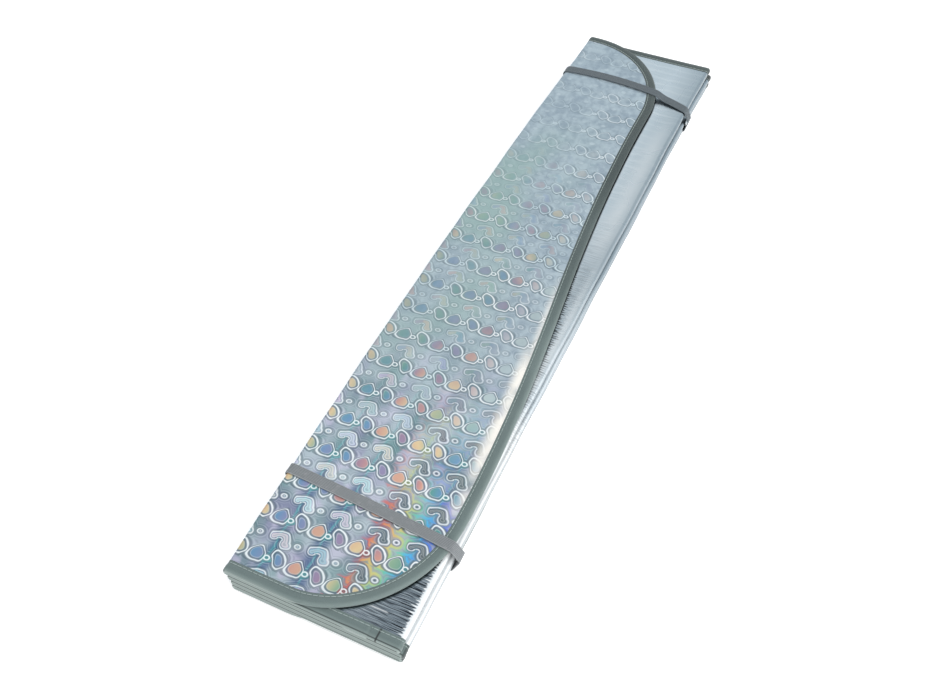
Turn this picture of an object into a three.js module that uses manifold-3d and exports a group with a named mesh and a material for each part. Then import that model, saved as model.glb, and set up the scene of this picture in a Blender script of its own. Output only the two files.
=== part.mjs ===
import * as THREE from 'three';
import { mergeVertices } from 'three/addons/utils/BufferGeometryUtils.js';
import Module from 'manifold-3d';

// A windscreen sunshade folded flat like an accordion and held by two elastic straps.
// Millimetres. X runs across the stack with the first fold on the left, Y runs along the
// panels from the near end to the far end, and Z points up from the floor.

// Stack of panels
const panelCount = 8;
const stackWidth = 153;
const stackLength = 800;
const sheetThickness = 2.2;
const nearGap = 0.25;
const farGap = 1.3;
const sideBow = 6.5;
const leftInsets = [0, 2.3, 4.4, 3.9];
const rightInsets = [2.5, 0, 1];

// Outline of the two end panels, measured from the stack's right side and its ends
const reachInset = 2.3;
const noseWidth = 98;
const noseLength = 112;
const tailInset = 38.5;
const tailWidth = 105;
const tailLength = 120;
const nearPull = 0.36;
const farPull = 0.48;

// Binding tape, folded over every cut edge
const tapeThickness = 0.35;
const tapeWidth = 10;
const tapeSeat = 0.1;
const lapInset = 26;
const lapLength = 16;

// Elastic straps
const strapThickness = 1.1;
const strapSeat = 0.25;
const strapLapLength = 14;
const nearStrap = { width: 10, fromEnd: 94.5, skew: -0.07, bow: 1 };
const farStrap = { width: 12, fromEnd: 86, skew: -0.105, bow: 9 };

// Fineness of the facets
const foldSteps = 6;
const alongSteps = 12;
const noseSteps = 12;
const sideSteps = 14;
const tailSteps = 12;
const cornerSteps = 16;
const strapStep = 14;

// Reach of the blocks used for cutting beyond what they cut, and closeness of points
const cutReach = 20;
const weldDistance = 1e-4;
const straightTurn = 1e-3;
const edgeSearches = 4;

const wasm = await Module();
wasm.setup();

const nearEnd = -stackLength / 2;
const farEnd = stackLength / 2;
const tapeSkin = tapeSeat + tapeThickness;
const sheetBase = strapThickness + strapSeat + tapeSkin;
const beyond = stackWidth;
const crownOfBow = 4;
const layerOverlap = nearGap / 5;

const isOdd = (panel) => panel % 2 === 1;

// Spacing of the layers: tight at the near end, springing open towards the far end
function pitchAt(y) {
  const share = (y - nearEnd) / stackLength;
  return sheetThickness + 2 * tapeSkin + THREE.MathUtils.lerp(nearGap, farGap, share);
}

// Height of a panel's middle plane; panel 1 is on top and the last one lies lowest
function panelHeight(panel, y) {
  return sheetBase + sheetThickness / 2 + (panelCount - panel) * pitchAt(y);
}

// How far the left folds bulge beyond the straight line between their two ends
function bowAt(y) {
  const share = THREE.MathUtils.clamp((y - nearEnd) / stackLength, 0, 1);
  return sideBow * crownOfBow * share * (1 - share);
}

// Middle of the round that joins a panel to the next one, and which side it is on
function foldCentre(panel, y) {
  const side = isOdd(panel) ? -1 : 1;
  const insets = side < 0 ? leftInsets : rightInsets;
  const inset = insets[Math.floor((panel - 1) / 2) % insets.length];
  const outerRadius = (pitchAt(y) + sheetThickness) / 2;
  const bow = side < 0 ? bowAt(y) : 0;
  const x = side * (stackWidth / 2 - inset + bow - outerRadius);
  const z = (panelHeight(panel, y) + panelHeight(panel + 1, y)) / 2;
  return { x, z, side };
}

// One face of the zigzag, from the first panel's free end to the last panel's
function facePath(y, offset, face) {
  const path = [];
  const lastSide = isOdd(panelCount) ? -1 : 1;
  path.push([beyond, panelHeight(1, y) + face * offset]);
  for (let panel = 1; panel < panelCount; panel += 1) {
    const { x, z, side } = foldCentre(panel, y);
    const outward = isOdd(panel) ? face : -face;
    const radius = pitchAt(y) / 2 + outward * offset;
    for (let step = 0; step <= foldSteps; step += 1) {
      const angle = Math.PI / 2 - (Math.PI * step) / foldSteps;
      path.push([x + side * radius * Math.cos(angle), z + radius * Math.sin(angle)]);
    }
  }
  const lastFace = isOdd(panelCount) ? face : -face;
  path.push([lastSide * beyond, panelHeight(panelCount, y) + lastFace * offset]);
  return path;
}

// Section of the whole zigzag across the folds, with a given half thickness
function zigzagSection(y, halfThickness) {
  const faceA = facePath(y, halfThickness, 1);
  const faceB = facePath(y, halfThickness, -1);
  return [...faceA, ...faceB.reverse()];
}

// A closed body through sections that stand at rising Y
function loft(sections) {
  const ringSize = sections[0].points.length;
  const outline = sections[0].points.map(([x, z]) => new THREE.Vector2(x, z));
  const reversed = THREE.ShapeUtils.isClockWise(outline);
  const positions = [];
  for (const { y, points } of sections) {
    const ring = reversed ? [...points].reverse() : points;
    ring.forEach(([x, z]) => positions.push(x, y, z));
  }
  const triangles = [];
  const capFaces = (points, first, flip) => {
    const ring = (reversed ? [...points].reverse() : points).map(([x, z]) => new THREE.Vector2(x, z));
    for (const [a, b, c] of THREE.ShapeUtils.triangulateShape(ring, [])) {
      if (flip) triangles.push(first + a, first + c, first + b);
      else triangles.push(first + a, first + b, first + c);
    }
  };
  capFaces(sections[0].points, 0, false);
  capFaces(sections.at(-1).points, (sections.length - 1) * ringSize, true);
  for (let station = 0; station < sections.length - 1; station += 1) {
    for (let i = 0; i < ringSize; i += 1) {
      const next = (i + 1) % ringSize;
      const a = station * ringSize + i;
      const b = station * ringSize + next;
      const c = b + ringSize;
      const d = a + ringSize;
      triangles.push(a, c, b, a, d, c);
    }
  }
  return manifoldFrom(positions, triangles);
}

function manifoldFrom(positions, triangles) {
  const mesh = new wasm.Mesh({
    numProp: 3,
    vertProperties: new Float32Array(positions),
    triVerts: new Uint32Array(triangles),
  });
  return new wasm.Manifold(mesh);
}

function solidFromGeometry(geometry) {
  const bare = geometry.clone();
  bare.deleteAttribute('normal');
  bare.deleteAttribute('uv');
  const merged = mergeVertices(bare, weldDistance);
  return manifoldFrom(merged.attributes.position.array, merged.index.array);
}

function geometryFromSolid(solid) {
  const mesh = solid.getMesh();
  const geometry = new THREE.BufferGeometry();
  geometry.setAttribute('position', new THREE.BufferAttribute(mesh.vertProperties, mesh.numProp));
  geometry.setIndex(new THREE.BufferAttribute(mesh.triVerts, 1));
  geometry.computeVertexNormals();
  return geometry;
}

// The folded strip as a solid, thickened on both faces and lengthened at both ends
function foldedStrip(extra) {
  const sections = [];
  for (let step = 0; step <= alongSteps; step += 1) {
    const y = THREE.MathUtils.lerp(nearEnd, farEnd, step / alongSteps);
    sections.push({ y, points: zigzagSection(y, sheetThickness / 2 + extra) });
  }
  sections[0].y -= extra;
  sections.at(-1).y += extra;
  return loft(sections);
}

// A block between two heights that may rise along the stack
function layerBlock(yLow, yHigh, floorAt, ceilingAt) {
  const sectionAt = (y) => ({
    y,
    points: [
      [-2 * beyond, floorAt(y)],
      [2 * beyond, floorAt(y)],
      [2 * beyond, ceilingAt(y)],
      [-2 * beyond, ceilingAt(y)],
    ],
  });
  return loft([sectionAt(yLow), sectionAt(yHigh)]);
}

// Points of an end panel's free edge: the big round nose, the slanted side that follows the
// windscreen pillar and the round tail, all moved outwards by an offset
function freeEdge(offset) {
  const reach = stackWidth / 2 - reachInset;
  const tailReach = stackWidth / 2 - tailInset;
  const noseTop = nearEnd + noseLength;
  const tailFoot = farEnd - tailLength;
  const run = tailFoot - noseTop;
  const points = [];
  const roundCorner = (centreX, centreY, width, height, from, steps) => {
    for (let step = 0; step <= steps; step += 1) {
      const angle = from + (Math.PI / 2) * (step / steps);
      const normal = new THREE.Vector2(Math.cos(angle) / width, Math.sin(angle) / height).normalize();
      points.push(new THREE.Vector2(
        centreX + width * Math.cos(angle) + offset * normal.x,
        centreY + height * Math.sin(angle) + offset * normal.y,
      ));
    }
  };
  roundCorner(reach - noseWidth, noseTop, noseWidth, noseLength, -Math.PI / 2, noseSteps);
  const side = new THREE.CubicBezierCurve(
    new THREE.Vector2(reach, noseTop),
    new THREE.Vector2(reach, noseTop + nearPull * run),
    new THREE.Vector2(tailReach, tailFoot - farPull * run),
    new THREE.Vector2(tailReach, tailFoot),
  );
  for (let step = 1; step < sideSteps; step += 1) {
    const point = side.getPoint(step / sideSteps);
    const tangent = side.getTangent(step / sideSteps);
    points.push(new THREE.Vector2(point.x + offset * tangent.y, point.y - offset * tangent.x));
  }
  roundCorner(tailReach - tailWidth, tailFoot, tailWidth, tailLength, 0, tailSteps);
  return points;
}

// Upright prism over an end panel, open-ended on the side of its fold
function endPanelPrism(offset, mirrored) {
  const edge = freeEdge(offset);
  const outline = new THREE.Shape([
    new THREE.Vector2(-beyond, nearEnd - offset),
    ...edge,
    new THREE.Vector2(-beyond, farEnd + offset),
  ]);
  const depth = panelHeight(0, farEnd) + 4 * cutReach;
  const geometry = new THREE.ExtrudeGeometry(outline, { depth, bevelEnabled: false });
  geometry.translate(0, 0, -2 * cutReach);
  const prism = solidFromGeometry(geometry);
  return mirrored ? prism.mirror([1, 0, 0]) : prism;
}

const below = () => -cutReach;
const above = (y) => panelHeight(0, y) + cutReach;
const underFirst = (y) => (panelHeight(1, y) + panelHeight(2, y)) / 2;
const overLast = (y) => (panelHeight(panelCount - 1, y) + panelHeight(panelCount, y)) / 2;
const topLayer = layerBlock(2 * nearEnd, 2 * farEnd, underFirst, above);
const bottomLayer = layerBlock(2 * nearEnd, 2 * farEnd, below, overLast);

// What lies outside the end panels' outline, within the heights of those two panels
function outsideOutline(offset) {
  const topWaste = topLayer.subtract(endPanelPrism(offset, false));
  const bottomWaste = bottomLayer.subtract(endPanelPrism(offset, isOdd(panelCount)));
  return topWaste.add(bottomWaste);
}

function trimmedStrip(extra) {
  return foldedStrip(extra).subtract(outsideOutline(extra));
}

// Everything further from the cut edges than the tape reaches
function uncoveredFaces() {
  const topOpen = topLayer.intersect(endPanelPrism(-tapeWidth, false));
  const bottomOpen = bottomLayer.intersect(endPanelPrism(-tapeWidth, isOdd(panelCount)));
  const low = (y) => overLast(y) - layerOverlap;
  const high = (y) => underFirst(y) + layerOverlap;
  const midOpen = layerBlock(nearEnd + tapeWidth, farEnd - tapeWidth, low, high);
  return topOpen.add(bottomOpen).add(midOpen);
}

// The tape's two ends lap on the second panel's near edge: one more leaf above and in front
function tapeLap() {
  const top = panelHeight(2, nearEnd) + sheetThickness / 2 + tapeSeat;
  const foot = panelHeight(2, nearEnd) - sheetThickness / 2 - tapeSkin;
  const front = nearEnd - tapeSeat;
  const halfLeaf = tapeThickness / 2;
  const section = new THREE.Shape([
    new THREE.Vector2(front - 2 * tapeThickness, foot),
    new THREE.Vector2(front - halfLeaf, foot),
    new THREE.Vector2(front - halfLeaf, top + halfLeaf),
    new THREE.Vector2(nearEnd + tapeWidth, top + halfLeaf),
    new THREE.Vector2(nearEnd + tapeWidth, top + 2 * tapeThickness),
    new THREE.Vector2(front - 2 * tapeThickness, top + 2 * tapeThickness),
  ]);
  const geometry = new THREE.ExtrudeGeometry(section, { depth: lapLength, bevelEnabled: false });
  geometry.rotateY(Math.PI / 2);
  geometry.rotateX(Math.PI / 2);
  geometry.translate(stackWidth / 2 - lapInset - lapLength, 0, 0);
  return solidFromGeometry(geometry);
}

function shadeSheet() {
  return trimmedStrip(0);
}

function edgeBinding() {
  const covered = trimmedStrip(tapeSkin).subtract(uncoveredFaces());
  return covered.subtract(trimmedStrip(tapeSeat)).add(tapeLap());
}

// Where the free edge of an end panel stands at a given Y
function freeEdgeAt(y) {
  const edge = freeEdge(tapeSkin);
  for (let i = 1; i < edge.length; i += 1) {
    const low = edge[i - 1];
    const high = edge[i];
    if (y <= high.y) return THREE.MathUtils.mapLinear(y, low.y, high.y, low.x, high.x);
  }
  return edge.at(-1).x;
}

// Height along the stack of a strap's middle line at a given X
function strapLine(strap, middle, x) {
  const share = (2 * x) / stackWidth;
  return middle + strap.skew * x + strap.bow * (1 - share * share);
}

// Rounds and corners of the stack that a strap is stretched over
function strapSupports(strap, middle) {
  const supports = [];
  const halfTaped = sheetThickness / 2 + tapeSkin;
  const lastSide = isOdd(panelCount) ? -1 : 1;
  for (const edge of [-strap.width / 2, strap.width / 2]) {
    for (let panel = 1; panel < panelCount; panel += 1) {
      const guess = isOdd(panel) ? -stackWidth / 2 : stackWidth / 2;
      const y = strapLine(strap, middle, guess) + edge;
      const { x, z } = foldCentre(panel, y);
      supports.push({ x, z, radius: (pitchAt(y) + sheetThickness) / 2 });
    }
    let x = stackWidth / 4;
    for (let pass = 0; pass < edgeSearches; pass += 1) x = freeEdgeAt(strapLine(strap, middle, x) + edge);
    const y = strapLine(strap, middle, x) + edge;
    supports.push({ x, z: panelHeight(1, y) + halfTaped, radius: 0 });
    supports.push({ x, z: panelHeight(1, y) - halfTaped, radius: 0 });
    const lastX = lastSide * x;
    supports.push({ x: lastX, z: panelHeight(panelCount, y) + halfTaped, radius: 0 });
    supports.push({ x: lastX, z: panelHeight(panelCount, y) - halfTaped, radius: 0 });
    const pressed = foldCentre(panelCount - 1, y);
    supports.push({ x: pressed.x, z: panelHeight(panelCount, y) - halfTaped, radius: 0 });
  }
  return supports;
}

// Taut outline round the supports at a given distance: their convex hull
function tautOutline(supports, distance) {
  const points = [];
  for (const { x, z, radius } of supports) {
    for (let step = 0; step < cornerSteps; step += 1) {
      const angle = (2 * Math.PI * step) / cornerSteps;
      const reach = radius + distance;
      points.push(new THREE.Vector2(x + reach * Math.cos(angle), z + reach * Math.sin(angle)));
    }
  }
  points.sort((a, b) => a.x - b.x || a.y - b.y);
  const turnsLeft = (a, b, c) => (b.x - a.x) * (c.y - a.y) - (b.y - a.y) * (c.x - a.x) > straightTurn;
  const chain = (ordered) => {
    const kept = [];
    for (const point of ordered) {
      while (kept.length > 1 && !turnsLeft(kept.at(-2), kept.at(-1), point)) kept.pop();
      kept.push(point);
    }
    kept.pop();
    return kept;
  };
  return [...chain(points), ...chain([...points].reverse())];
}

// Long runs are divided, so that a bowed strap can follow its line
function divided(outline) {
  const result = [];
  outline.forEach((point, index) => {
    const next = outline[(index + 1) % outline.length];
    const pieces = Math.max(1, Math.round(point.distanceTo(next) / strapStep));
    for (let piece = 0; piece < pieces; piece += 1) {
      result.push(point.clone().lerp(next, piece / pieces));
    }
  });
  return result;
}

function bandBetween(supports, inner, outer, width) {
  const shape = new THREE.Shape(divided(tautOutline(supports, outer)));
  shape.holes.push(new THREE.Path(divided(tautOutline(supports, inner))));
  const geometry = new THREE.ExtrudeGeometry(shape, { depth: width, bevelEnabled: false });
  geometry.rotateX(Math.PI / 2);
  geometry.translate(0, width / 2, 0);
  return solidFromGeometry(geometry);
}

// A closed elastic loop whose ends are sewn one over the other on the left side
function elasticStrap(strap, middle) {
  const supports = strapSupports(strap, middle);
  const outer = strapSeat + strapThickness;
  const loop = bandBetween(supports, strapSeat, outer, strap.width);
  const lapMiddle = panelHeight((panelCount + 1) / 2, middle);
  const window = new THREE.BoxGeometry(stackWidth, strap.width * 2, strapLapLength);
  window.translate(-stackWidth / 2, 0, lapMiddle);
  const secondLeaf = bandBetween(supports, strapSeat + strapThickness / 2, outer + strapThickness, strap.width);
  const lap = secondLeaf.intersect(solidFromGeometry(window));
  const geometry = geometryFromSolid(loop.add(lap));
  const position = geometry.attributes.position;
  for (let i = 0; i < position.count; i += 1) {
    position.setY(i, position.getY(i) + strapLine(strap, middle, position.getX(i)));
  }
  return geometry;
}

function piece(name, geometry, color, roughness, metalness) {
  const material = new THREE.MeshStandardMaterial({ color, roughness, metalness });
  const mesh = new THREE.Mesh(geometry, material);
  mesh.name = name;
  return mesh;
}

const group = new THREE.Group();
group.add(piece('shade_sheet', geometryFromSolid(shadeSheet()), 0xb4c2ca, 0.28, 0.85));
group.add(piece('edge_binding', geometryFromSolid(edgeBinding()), 0x76867f, 0.9, 0));
group.add(piece('near_strap', elasticStrap(nearStrap, nearEnd + nearStrap.fromEnd), 0x77757c, 0.85, 0));
group.add(piece('far_strap', elasticStrap(farStrap, farEnd - farStrap.fromEnd), 0x77757c, 0.85, 0));

// The origin is the middle of the footprint, on the floor
const extent = new THREE.Box3().setFromObject(group);
const middle = extent.getCenter(new THREE.Vector3());
group.position.set(-middle.x, -middle.y, -extent.min.z);

export default group;
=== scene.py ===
import math

import bmesh
import bpy
import numpy as np
from mathutils import Euler, Matrix, Vector


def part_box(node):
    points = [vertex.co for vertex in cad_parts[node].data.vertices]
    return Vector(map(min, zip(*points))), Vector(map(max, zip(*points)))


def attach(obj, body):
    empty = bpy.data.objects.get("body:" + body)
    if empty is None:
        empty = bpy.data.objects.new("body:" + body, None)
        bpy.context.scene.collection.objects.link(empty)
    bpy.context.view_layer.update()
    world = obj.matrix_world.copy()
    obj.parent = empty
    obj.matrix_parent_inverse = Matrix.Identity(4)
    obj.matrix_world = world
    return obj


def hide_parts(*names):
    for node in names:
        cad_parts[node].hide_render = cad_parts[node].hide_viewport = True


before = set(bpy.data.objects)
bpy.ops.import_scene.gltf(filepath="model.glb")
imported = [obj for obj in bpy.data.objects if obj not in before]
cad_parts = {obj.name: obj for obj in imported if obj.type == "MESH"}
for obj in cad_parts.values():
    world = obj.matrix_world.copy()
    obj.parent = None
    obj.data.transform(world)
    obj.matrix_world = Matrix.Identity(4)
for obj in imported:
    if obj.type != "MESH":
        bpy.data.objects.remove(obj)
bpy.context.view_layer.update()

# Sizes of the folded sheet in millimetres, as in the solids
PANELS = 8
WIDTH = 153.0
LENGTH = 800.0
NEAR = -LENGTH / 2
FAR = LENGTH / 2
SHEET = 2.2
NEAR_GAP = 0.25
FAR_GAP = 1.3
SIDE_BOW = 6.5
LEFT_INSETS = (0.0, 2.3, 4.4, 3.9)
RIGHT_INSETS = (2.5, 0.0, 1.0)
REACH_INSET = 2.3
NOSE_WIDTH = 98.0
NOSE_LENGTH = 112.0
TAIL_INSET = 38.5
TAIL_WIDTH = 105.0
TAIL_LENGTH = 120.0
NEAR_PULL = 0.36
FAR_PULL = 0.48
TAPE = 0.35
TAPE_WIDTH = 10.0
TAPE_SEAT = 0.1
LAP_INSET = 26.0
LAP_LENGTH = 16.0
STRAP = 1.1
STRAP_SEAT = 0.25
STRAP_LAP = 14.0
NEAR_STRAP = {
    "width": 10.0, "middle": NEAR + 94.5, "skew": -0.07, "bow": 1.0,
    "stand": (80.8, 20.0), "sag": 0.0,
}
FAR_STRAP = {
    "width": 12.0, "middle": FAR - 86.0, "skew": -0.105, "bow": 9.0,
    "stand": (78.2, 20.0), "sag": 2.4,
}

HALF = SHEET / 2
SKIN = TAPE_SEAT + TAPE
BASE = STRAP + STRAP_SEAT + SKIN
REACH = WIDTH / 2 - REACH_INSET
TAIL_REACH = WIDTH / 2 - TAIL_INSET
NOSE_TOP = NEAR + NOSE_LENGTH
TAIL_FOOT = FAR - TAIL_LENGTH
NOSE_START = REACH - NOSE_WIDTH
TAIL_START = TAIL_REACH - TAIL_WIDTH

# Fine forms that the solids leave out: (height, run, phase a panel) of the rounds' wobbles
WOBBLES = ((0.21, 31.0, 1.7), (0.14, 13.0, 2.9))
WOBBLE_ROOM = 0.35
# (height, run along y, run along x, phase) of the layers' waves, and where they are calm
WAVES = ((0.30, 29.0, 95.0, 0.4), (0.22, 17.0, -41.0, 2.1), (0.16, 61.0, 23.0, 0.0))
STILL_REACH = 26.0
CALM_RUN = 40.0
CALM_SHARE = 0.35
# The far right corner springs out by SPRING, from SPRING_FROM on and over SPRING_RUN
SPRING_FROM = (30.0, 328.0)
SPRING_RUN = (46.0, 72.0)
SPRING = (1.7, 0.8)
# (depth, reach) of the dent under the stitches and of the thinning at the cut edge
STITCH_DENT = (0.3, 2.2)
EDGE_THINNING = (0.25, 1.6)
STITCH_LINE = 8.0
STITCH_STEP = 4.6
STITCH_LENGTH = 4.25
STITCH_LIFT = 0.3
LAP_LIFT = 0.62
LAP_RISE = 7.0
SELVEDGE = 0.55

# Steps of the meshes
NOSE_ROWS = 22
SIDE_ROWS = 118
FOLD_STEPS = 10
FOLD_ANGLES = math.pi / 2 - math.pi * np.arange(FOLD_STEPS + 1) / FOLD_STEPS
PANEL_STEPS = 14
END_PANEL_STEPS = 26
END_PANEL_EASING = 0.55
BESIDE_ROUND = 0.008
TAPE_CONTOUR_STEPS = (30, 116, 30)
TAPE_PANEL_STEPS = 34
TAPE_NOSE_STEPS = 14
TAPE_TAIL_STEPS = 4
TAPE_LAP_STEPS = (12, 40)
CORNER_STEPS = 40
BAND_STEP = 2.5
BAND_LAP_STEPS = 12
THREAD_SIDES = 6

# The solids' origin is the middle of their footprint: the sheet's box gives the shift
sheet_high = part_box("shade_sheet")[1]
SHIFT = np.array([sheet_high.x * 1000 - WIDTH / 2, sheet_high.y * 1000 - FAR, 0.0])


def pitch(y):
    share = (y - NEAR) / LENGTH
    return SHEET + 2 * SKIN + NEAR_GAP + (FAR_GAP - NEAR_GAP) * share


def panel_z(panel, y):
    return BASE + HALF + (PANELS - panel) * pitch(y)


def side_of(panel):
    return -1.0 if panel % 2 else 1.0


def face_up(panel):
    """1 where face A looks up, on the odd panels, and -1 on the others."""
    return 1.0 if panel % 2 else -1.0


def fold_x(panel, y):
    """Middle of the round between a panel and the next one."""
    side = side_of(panel)
    insets = LEFT_INSETS if side < 0 else RIGHT_INSETS
    inset = insets[((panel - 1) // 2) % len(insets)]
    share = np.clip((y - NEAR) / LENGTH, 0, 1)
    bow = SIDE_BOW * 4 * share * (1 - share) if side < 0 else 0.0
    wobble = sum(height * np.sin(y / run + phase * panel) for height, run, phase in WOBBLES)
    reach = WIDTH / 2 - inset + bow - WOBBLE_ROOM + wobble
    return side * (reach - (pitch(y) + SHEET) / 2)


def strap_line(strap, x):
    """Where the middle of a strap's band stands along the stack."""
    share = 2 * x / WIDTH
    return strap["middle"] + strap["skew"] * x + strap["bow"] * (1 - share * share)


def ramp_up(share):
    share = np.clip(share, 0, 1)
    return share * share * (3 - 2 * share)


def undulate(points):
    """Gentle waves that all layers share, still under the straps and calm at both ends."""
    x, y = points[..., 0], points[..., 1]
    wave = 0.0
    for height, along, across, phase in WAVES:
        wave = wave + height * np.sin(y / along + x / across + phase)
    from_ends = np.clip((FAR + 1 - np.abs(y)) / CALM_RUN, 0, 1)
    wave = wave * (CALM_SHARE + (1 - CALM_SHARE) * from_ends)
    for strap in (NEAR_STRAP, FAR_STRAP):
        away = (y - strap_line(strap, x)) / STILL_REACH
        wave = wave * (1 - np.exp(-(away**4)))
    corner = 1.0
    for place, start, run in zip((x, y), SPRING_FROM, SPRING_RUN):
        corner = corner * ramp_up((place - start) / run)
    return points + np.stack([SPRING[0] * corner, SPRING[1] * corner, wave], -1)


def panel_point(panel, x, y, n):
    x, y, n = np.broadcast_arrays(x, y, n)
    z = panel_z(panel, y) + face_up(panel) * n
    return np.stack([x, y, z], -1)


def fold_point(panel, angle, y, n):
    angle, y, n = np.broadcast_arrays(angle, y, n)
    radius = pitch(y) / 2 + face_up(panel) * n
    middle = (panel_z(panel, y) + panel_z(panel + 1, y)) / 2
    x = fold_x(panel, y) + side_of(panel) * radius * np.cos(angle)
    return np.stack([x, y, middle + radius * np.sin(angle)], -1)


def side_curve(count):
    """The slanted side of an end panel, a cubic curve from the nose to the tail."""
    run = TAIL_FOOT - NOSE_TOP
    points = np.array([
        [REACH, NOSE_TOP],
        [REACH, NOSE_TOP + NEAR_PULL * run],
        [TAIL_REACH, TAIL_FOOT - FAR_PULL * run],
        [TAIL_REACH, TAIL_FOOT],
    ])
    t = np.linspace(0, 1, count)[:, None]
    weights = np.hstack([(1 - t) ** 3, 3 * t * (1 - t) ** 2, 3 * t * t * (1 - t), t**3])
    return weights @ points


SIDE = side_curve(400)


def free_edge_x(y):
    """Where an end panel's free edge stands at y."""
    nose = np.clip((NOSE_TOP - y) / NOSE_LENGTH, 0, 1)
    tail = np.clip((y - TAIL_FOOT) / TAIL_LENGTH, 0, 1)
    x = np.interp(y, SIDE[:, 1], SIDE[:, 0])
    x = np.where(y < NOSE_TOP, NOSE_START + NOSE_WIDTH * np.sqrt(1 - nose * nose), x)
    return np.where(y > TAIL_FOOT, TAIL_START + TAIL_WIDTH * np.sqrt(1 - tail * tail), x)


def quarter(x, y, width, length, first, steps):
    """A quarter of an ellipse about (x, y), from the angle first on."""
    angle = np.linspace(first, first + math.pi / 2, steps + 1)
    return np.stack([x + width * np.cos(angle), y + length * np.sin(angle)], -1)


def free_edge(nose_steps, side_steps, tail_steps):
    """Points and outward normals of an end panel's free edge, from the near to the far end."""
    nose = quarter(NOSE_START, NOSE_TOP, NOSE_WIDTH, NOSE_LENGTH, -math.pi / 2, nose_steps)
    tail = quarter(TAIL_START, TAIL_FOOT, TAIL_WIDTH, TAIL_LENGTH, 0, tail_steps)
    points = np.vstack([nose, side_curve(side_steps + 1)[1:-1], tail])
    along = np.gradient(points, axis=0)
    along[0] = (1, 0)
    along[-1] = (-1, 0)
    along /= np.linalg.norm(along, axis=1, keepdims=True)
    return points, np.stack([along[:, 1], -along[:, 0]], -1)


def sheet_half(edge):
    """Half thickness of the sheet, pressed by the stitches and thinner at its cut edge."""
    half = HALF
    for place, (depth, reach) in ((STITCH_LINE, STITCH_DENT), (0.0, EDGE_THINNING)):
        half = half - depth * np.exp(-(((edge - place) / reach) ** 2))
    return half


def make_mesh(name, points, faces, uv=None, slots=None, values=None):
    """An object from points in millimetres, with a UV in metres and named values at its points."""
    mesh = bpy.data.meshes.new(name)
    mesh.from_pydata(((points + SHIFT) / 1000).tolist(), [], faces)
    if uv is not None:
        layer = mesh.uv_layers.new(name="flat")
        loops = np.empty(len(mesh.loops), np.int32)
        mesh.loops.foreach_get("vertex_index", loops)
        layer.data.foreach_set("uv", (uv[loops] / 1000).astype(np.float32).ravel())
    for key, value in (values or {}).items():
        attribute = mesh.attributes.new(key, "FLOAT", "POINT")
        attribute.data.foreach_set("value", value.astype(np.float32))
    if slots is not None:
        mesh.polygons.foreach_set("material_index", np.array(slots, np.int32))
    mesh.polygons.foreach_set("use_smooth", np.ones(len(mesh.polygons), bool))
    mesh.update()
    piece = bpy.data.objects.new(name, mesh)
    bpy.context.scene.collection.objects.link(piece)
    return piece


def grid_faces(rows, columns, first=0, flip=False):
    faces = []
    for row in range(rows - 1):
        for column in range(columns - 1):
            a = first + row * columns + column
            quad = (a, a + 1, a + 1 + columns, a + columns)
            faces.append(quad[::-1] if flip else quad)
    return faces


def face_outwards(piece):
    work = bmesh.new()
    work.from_mesh(piece.data)
    bmesh.ops.recalc_face_normals(work, faces=work.faces)
    work.to_mesh(piece.data)
    work.free()


def path_lengths(points):
    return np.concatenate([[0], np.cumsum(np.linalg.norm(np.diff(points, axis=0), axis=1))])


def interpolate(at, lengths, values):
    """Rows of values at the places at, between those given at lengths."""
    return np.stack([np.interp(at, lengths, column) for column in values.T], -1)


def swept_uv(along, around):
    return np.stack(np.broadcast_arrays(along[:, None], around), -1).reshape(-1, 2)


def sheet_rows():
    turn = np.linspace(0, math.pi / 2, NOSE_ROWS + 1)
    nose = NEAR + NOSE_LENGTH * (1 - np.cos(turn))
    side = np.linspace(NOSE_TOP, TAIL_FOOT, SIDE_ROWS + 1)
    tail = FAR - TAIL_LENGTH * (1 - np.cos(turn[::-1]))
    return np.concatenate([nose, side[1:-1], tail])


def spread(count, easing):
    """Shares from 0 to 1, with a narrow first and last one beside the rounds."""
    even = np.linspace(0, 1, count + 1)
    shares = (1 - easing) * even + easing * (1 - np.cos(math.pi * even)) / 2
    shares[1], shares[-2] = BESIDE_ROUND, 1 - BESIDE_ROUND
    return shares


def sheet_columns(y, n_for):
    """Points of one face, column by column from panel 1's free edge to panel 8's."""
    columns = []
    free = free_edge_x(y)
    for panel in range(1, PANELS + 1):
        start = free if panel == 1 else fold_x(panel - 1, y)
        end = free if panel == PANELS else fold_x(panel, y)
        if panel in (1, PANELS):
            shares = spread(END_PANEL_STEPS, END_PANEL_EASING)
        else:
            shares = spread(PANEL_STEPS, 0.0)
        for share in shares[(0 if panel == 1 else 1) : (None if panel == PANELS else -1)]:
            x = start + (end - start) * share
            columns.append(panel_point(panel, x, y, n_for(panel, x, y)))
        if panel < PANELS:
            for angle in FOLD_ANGLES:
                columns.append(fold_point(panel, angle, y, n_for(0, 0 * y, y)))
    return np.stack(columns)


def column_panels():
    """The panel of each column of the sheet, 0 on the rounds."""
    panels = []
    for panel in range(1, PANELS + 1):
        own = END_PANEL_STEPS if panel in (1, PANELS) else PANEL_STEPS - 1
        panels += [panel] * own + [0] * (FOLD_STEPS + 1 if panel < PANELS else 0)
    return np.array(panels)


def slot_shade_shares(panels):
    """Painted shade for each column: how deep it stands in the slots between the stacked rounds,
    with thin lines of painted shade on the flanks of the rounds under even panels."""
    rise = np.sin(FOLD_ANGLES)
    depth = ramp_up((np.abs(rise) - 0.9) / 0.1) * 0.4
    flank_shade = ramp_up((0.8 - rise) / 0.5)
    rounds = []
    for panel in range(1, PANELS):
        own = np.where((rise > 0) & (panel <= 2), 0.0, depth)
        rounds.append(own if panel % 2 else np.maximum(own, flank_shade))
    shares = np.zeros(len(panels))
    shares[panels == 0] = np.concatenate(rounds)
    return shares


CONTOUR = free_edge(80, 300, 80)[0]


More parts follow.
